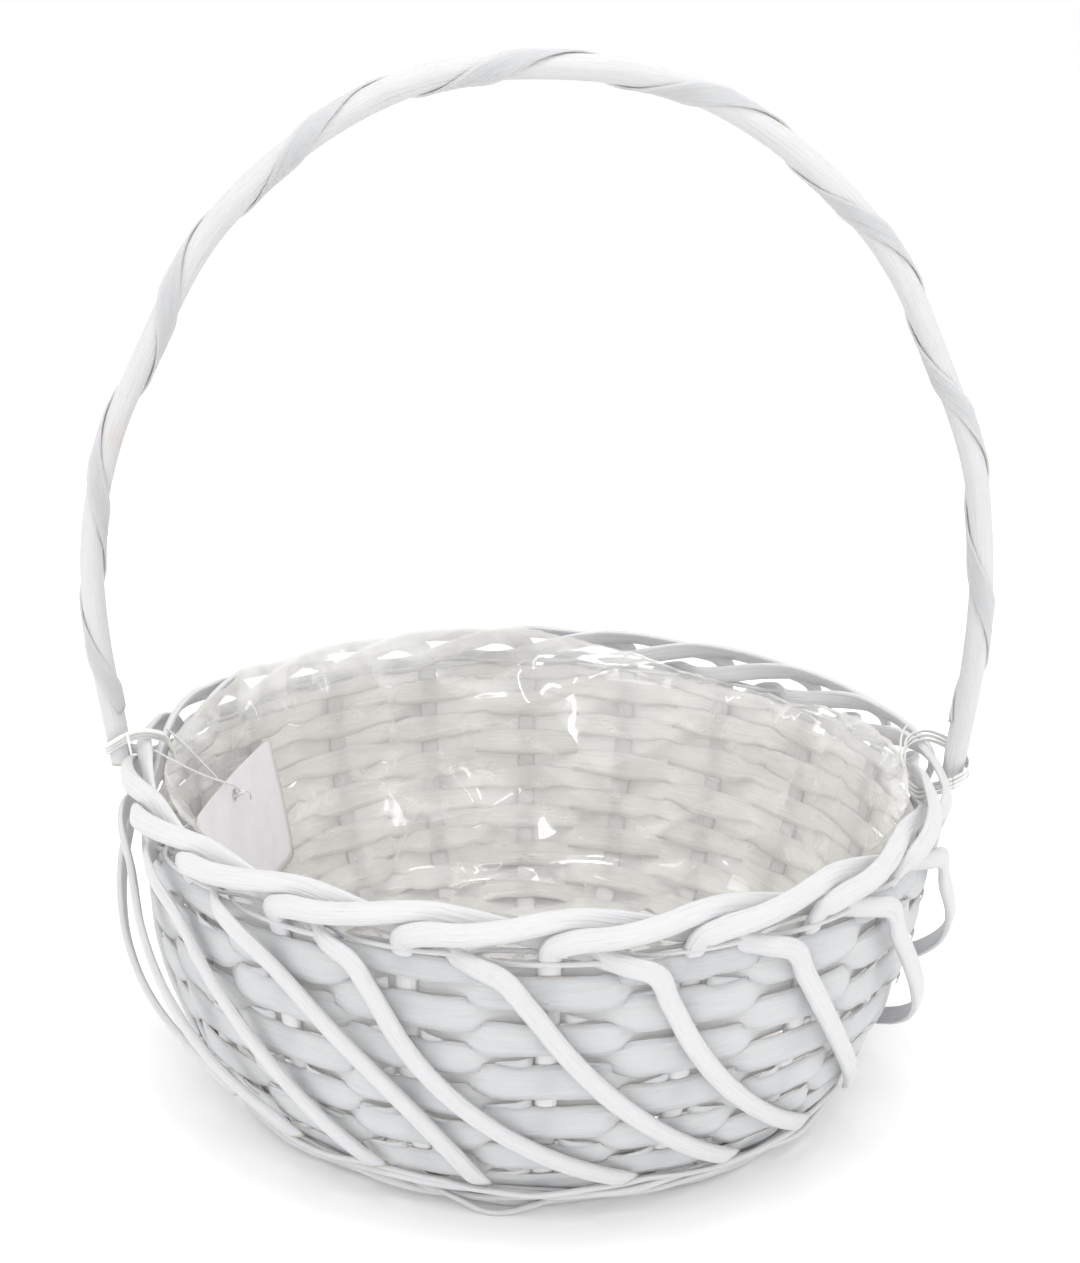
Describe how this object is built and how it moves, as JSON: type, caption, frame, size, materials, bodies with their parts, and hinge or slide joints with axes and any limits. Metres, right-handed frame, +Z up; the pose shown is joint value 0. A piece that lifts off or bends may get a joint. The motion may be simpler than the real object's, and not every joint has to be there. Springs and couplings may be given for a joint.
{
  "type": "flower girl basket",
  "caption": "Round white woven wood-chip basket with a folded rod border, a tall rigid hoop handle bound with a flat skein, a clear film liner and a blank card tag on a thread.",
  "frame": {"origin": "on the basket's axis at the floor it stands on", "axes": "+Z up along the basket's axis; the handle stands in the XZ plane; -Y is the front, and the tag hangs inside on the -X side"},
  "size_m": [0.2654, 0.247, 0.2919],
  "materials": {
    "painted_rod": "white paint brushed over willow rod, satin, thin over knots and cut ends",
    "painted_chip": "thin white paint over flat wood chip, matt, grain showing",
    "tie": "thin white painted tie",
    "clear_film": "clear crinkled wrapping film",
    "card": null,
    "thread": "twisted cotton thread"
  },
  "bodies": {
    "basket": {"stake_01": "painted_rod", "stake_02": "painted_rod", "stake_03": "painted_rod", "stake_04": "painted_rod", "stake_05": "painted_rod", "stake_06": "painted_rod", "stake_07": "painted_rod", "stake_08": "painted_rod", "stake_09": "painted_rod", "stake_10": "painted_rod", "stake_11": "painted_rod", "stake_12": "painted_rod", "stake_13": "painted_rod", "stake_14": "painted_rod", "stake_15": "painted_rod", "stake_16": "painted_rod", "stake_17": "painted_rod", "stake_18": "painted_rod", "stake_19": "painted_rod", "stake_20": "painted_rod", "weave_row_01": "painted_chip", "weave_row_02": "painted_chip", "weave_row_03": "painted_chip", "weave_row_04": "painted_chip", "weave_row_05": "painted_chip", "weave_row_06": "painted_chip", "weave_row_07": "painted_chip", "weave_row_08": "painted_chip", "weave_row_09": "painted_chip", "weave_row_10": "painted_chip", "weave_row_11": "painted_chip", "top_wale": "painted_chip", "foot_wale_01": "painted_rod", "foot_wale_02": "painted_rod", "foot_wale_03": "painted_rod", "base_stick_01": "painted_rod", "base_stick_02": "painted_rod", "base_stick_03": "painted_rod", "base_stick_04": "painted_rod", "base_stick_05": "painted_rod", "base_stick_06": "painted_rod", "base_stick_07": "painted_rod", "base_stick_08": "painted_rod", "base_stick_09": "painted_rod", "base_stick_10": "painted_rod", "base_row_01": "painted_chip", "base_row_02": "painted_chip", "base_row_03": "painted_chip", "base_row_04": "painted_chip", "base_row_05": "painted_chip", "base_row_06": "painted_chip", "base_row_07": "painted_chip", "handle_rod": "painted_rod", "handle_skein": "painted_chip", "lashing_left": "tie", "lashing_right": "tie", "liner": "clear_film"},
    "hang_tag": {"tag_card": "card", "tag_thread": "thread"}
  },
  "joints": [
    {"name": "tag_swing", "type": "hinge", "parent": "basket", "child": "hang_tag", "pos_m": [-0.1124, -0.00115, 0.1], "axis": [0, -1, 0], "range_deg": [0, 110]}
  ]
}
